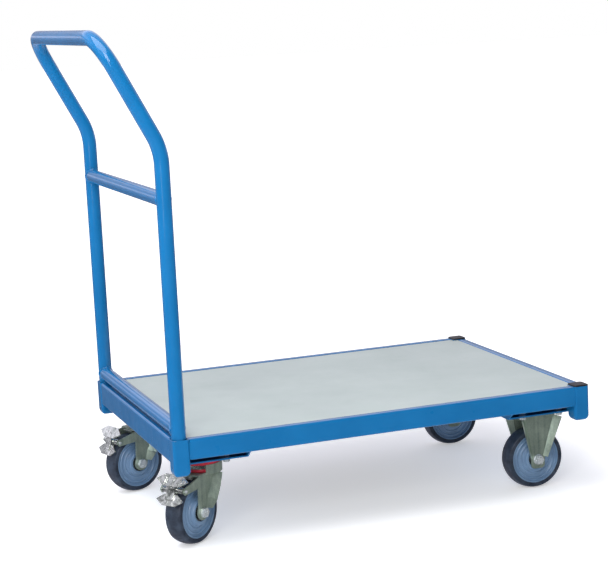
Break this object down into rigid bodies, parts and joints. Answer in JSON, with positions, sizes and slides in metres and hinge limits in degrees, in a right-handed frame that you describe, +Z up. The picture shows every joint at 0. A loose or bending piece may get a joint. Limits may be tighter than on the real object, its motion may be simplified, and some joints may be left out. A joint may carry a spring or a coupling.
{
  "type": "platform cart",
  "caption": "Flat platform cart with a framed laminate deck, a plug-in tubular push handle, braked swivel casters at the handle end and fixed casters at the front.",
  "frame": {"origin": "middle of the overall length and width, on the floor under the wheels", "axes": "+X towards the front end, away from the push handle; +Y to the left of a person pushing; +Z up"},
  "size_m": [0.962, 0.6, 0.969],
  "materials": {
    "blue_paint": "gloss",
    "laminate": "satin",
    "black_plastic": "satin",
    "fastener_zinc": "zinc plated",
    "plate_zinc": "zinc plated",
    "bright_zinc": "zinc plated",
    "red_seal": "gloss",
    "bearing_steel": "ground",
    "tyre_rubber": "satin",
    "hub_plastic": "satin"
  },
  "bodies": {
    "cart": {"side_rail_left": "blue_paint", "side_rail_right": "blue_paint", "end_rail_handle": "blue_paint", "end_rail_front": "blue_paint", "post_handle_left": "blue_paint", "post_handle_right": "blue_paint", "post_front_left": "blue_paint", "post_front_right": "blue_paint", "channel_handle": "blue_paint", "channel_front": "blue_paint", "side_ledges": "blue_paint", "end_ledges": "blue_paint", "deck_board": "laminate", "cap_left": "black_plastic", "cap_right": "black_plastic", "plate_screws": "fastener_zinc", "plate_nuts": "fastener_zinc", "king_bolts": "fastener_zinc", "swivel_plate_left": "plate_zinc", "swivel_plate_right": "plate_zinc", "race_ring_left": "bright_zinc", "race_ring_right": "bright_zinc", "seals_left": "red_seal", "seals_right": "red_seal", "swivel_balls": "bearing_steel", "fixed_fork_left": "plate_zinc", "fixed_fork_right": "plate_zinc", "fixed_axle_bolts": "fastener_zinc", "fixed_axle_nuts": "fastener_zinc", "fixed_axle_sleeves": "bearing_steel"},
    "push_handle": {"handle_tube": "blue_paint", "handle_middle_bar": "blue_paint", "handle_lower_bar": "blue_paint"},
    "swivel_left": {"swivel_fork_left": "plate_zinc", "swivel_axle_bolt_left": "fastener_zinc", "swivel_axle_nut_left": "fastener_zinc", "swivel_axle_sleeve_left": "bearing_steel", "pedal_pin_left": "fastener_zinc"},
    "wheel_handle_left": {"tyre_handle_left": "tyre_rubber", "rim_handle_left": "hub_plastic", "bearings_handle_left": "bearing_steel"},
    "wheel_front_left": {"tyre_front_left": "tyre_rubber", "rim_front_left": "hub_plastic", "bearings_front_left": "bearing_steel"},
    "pedal_left": {"brake_pedal_left": "bright_zinc"},
    "shoe_left": {"brake_shoe_left": "bright_zinc"},
    "swivel_right": {"swivel_fork_right": "plate_zinc", "swivel_axle_bolt_right": "fastener_zinc", "swivel_axle_nut_right": "fastener_zinc", "swivel_axle_sleeve_right": "bearing_steel", "pedal_pin_right": "fastener_zinc"},
    "wheel_handle_right": {"tyre_handle_right": "tyre_rubber", "rim_handle_right": "hub_plastic", "bearings_handle_right": "bearing_steel"},
    "wheel_front_right": {"tyre_front_right": "tyre_rubber", "rim_front_right": "hub_plastic", "bearings_front_right": "bearing_steel"},
    "pedal_right": {"brake_pedal_right": "bright_zinc"},
    "shoe_right": {"brake_shoe_right": "bright_zinc"}
  },
  "joints": [
    {"name": "handle_lift", "type": "slide", "parent": "cart", "child": "push_handle", "axis": [0, 0, 1], "range_m": [0, 0.08]},
    {"name": "swivel_left", "type": "hinge", "parent": "cart", "child": "swivel_left", "pos_m": [-0.3, 0.2, 0.16], "axis": [0, 0, 1], "continuous": true},
    {"name": "wheel_handle_left", "type": "hinge", "parent": "swivel_left", "child": "wheel_handle_left", "pos_m": [-0.33593, 0.18763, 0.0625], "axis": [0.3256, -0.9455, 0], "continuous": true},
    {"name": "wheel_front_left", "type": "hinge", "parent": "cart", "child": "wheel_front_left", "pos_m": [0.401, 0.2, 0.0625], "axis": [0, 1, 0], "continuous": true},
    {"name": "pedal_left", "type": "hinge", "parent": "swivel_left", "child": "pedal_left", "pos_m": [-0.38321, 0.17135, 0.116], "axis": [0.3256, -0.9455, 0], "range_deg": [0, 10]},
    {"name": "shoe_left", "type": "slide", "parent": "swivel_left", "child": "shoe_left", "axis": [0, 0, -1], "range_m": [0, 0.0015]},
    {"name": "swivel_right", "type": "hinge", "parent": "cart", "child": "swivel_right", "pos_m": [-0.3, -0.2, 0.16], "axis": [0, 0, 1], "continuous": true},
    {"name": "wheel_handle_right", "type": "hinge", "parent": "swivel_right", "child": "wheel_handle_right", "pos_m": [-0.33035, -0.22287, 0.0625], "axis": [0.6018, -0.7986, 0], "continuous": true},
    {"name": "wheel_front_right", "type": "hinge", "parent": "cart", "child": "wheel_front_right", "pos_m": [0.401, -0.2, 0.0625], "axis": [0, 1, 0], "continuous": true},
    {"name": "pedal_right", "type": "hinge", "parent": "swivel_right", "child": "pedal_right", "pos_m": [-0.37028, -0.25296, 0.116], "axis": [0.6018, -0.7986, 0], "range_deg": [0, 10]},
    {"name": "shoe_right", "type": "slide", "parent": "swivel_right", "child": "shoe_right", "axis": [0, 0, -1], "range_m": [0, 0.0015]}
  ],
  "couplings": [
    {"joint": "shoe_left", "follows": "pedal_left", "m_per_rad": 0.008584},
    {"joint": "shoe_right", "follows": "pedal_right", "m_per_rad": 0.008584}
  ]
}
